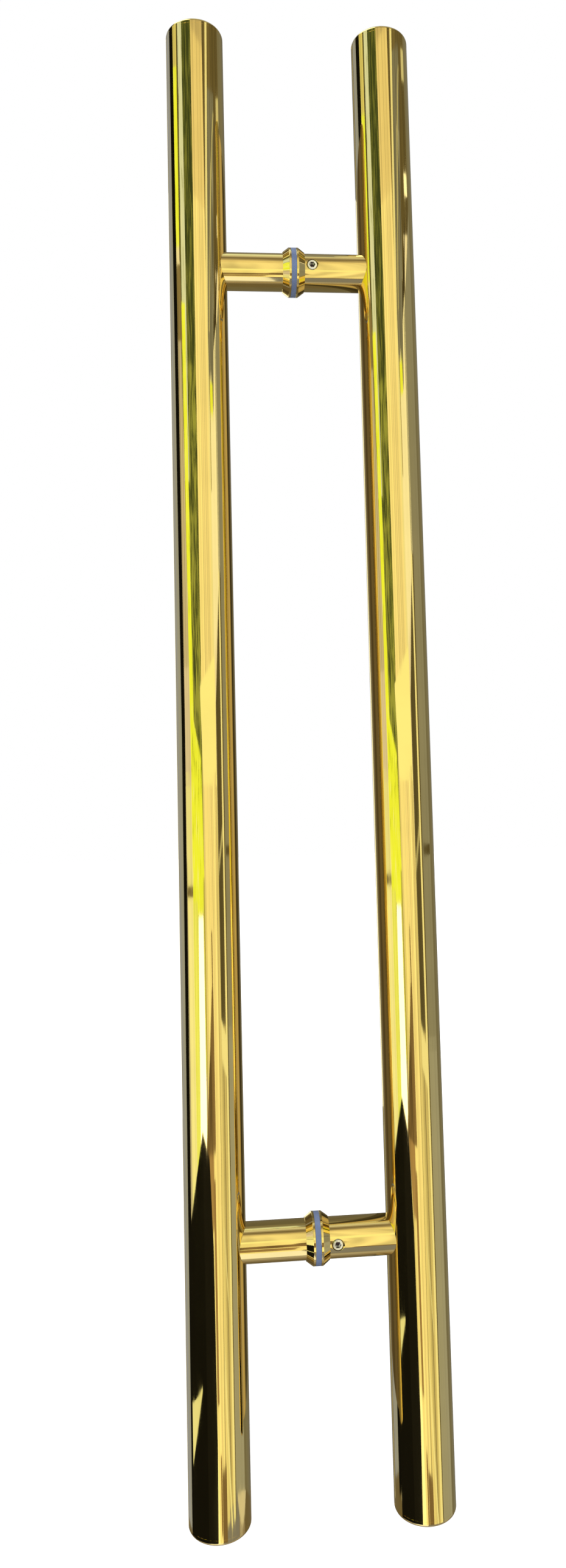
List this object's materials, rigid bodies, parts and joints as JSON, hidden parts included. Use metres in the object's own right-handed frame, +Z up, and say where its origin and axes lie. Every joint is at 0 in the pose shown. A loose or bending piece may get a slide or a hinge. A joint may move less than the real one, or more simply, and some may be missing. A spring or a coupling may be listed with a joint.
{
  "type": "ladder pull handle",
  "caption": "Back-to-back ladder pull handle for a glass door: long round mirror-gold grips joined by split posts with coned collars, gaskets and set screws",
  "frame": {"origin": "centre of the handle, half-way between the two grips and the two posts, in the middle of the door panel", "axes": "+X is the door's normal, from the left grip to the right grip; +Z is up, along the grips; +Y points along the door, away from the side with the set screws"},
  "size_m": [0.138, 0.032, 0.8],
  "materials": {
    "gold": "mirror-polished stainless steel with a gold coating",
    "gasket": "smooth blue-grey gasket, semi-gloss",
    "steel": "turned and zinc-plated steel",
    "screw": "bright stainless steel"
  },
  "bodies": {
    "root": {"left_grip_tube": "gold", "left_top_cap": "gold", "left_bottom_cap": "gold", "right_grip_tube": "gold", "right_top_cap": "gold", "right_bottom_cap": "gold", "upper_left_post": "gold", "upper_left_collar": "gold", "upper_left_gasket": "gasket", "upper_right_post": "gold", "upper_right_collar": "gold", "upper_right_gasket": "gasket", "upper_fixing_boss": "steel", "upper_through_bolt": "steel", "upper_set_screw": "screw", "lower_left_post": "gold", "lower_left_collar": "gold", "lower_left_gasket": "gasket", "lower_right_post": "gold", "lower_right_collar": "gold", "lower_right_gasket": "gasket", "lower_fixing_boss": "steel", "lower_through_bolt": "steel", "lower_set_screw": "screw"}
  },
  "joints": []
}
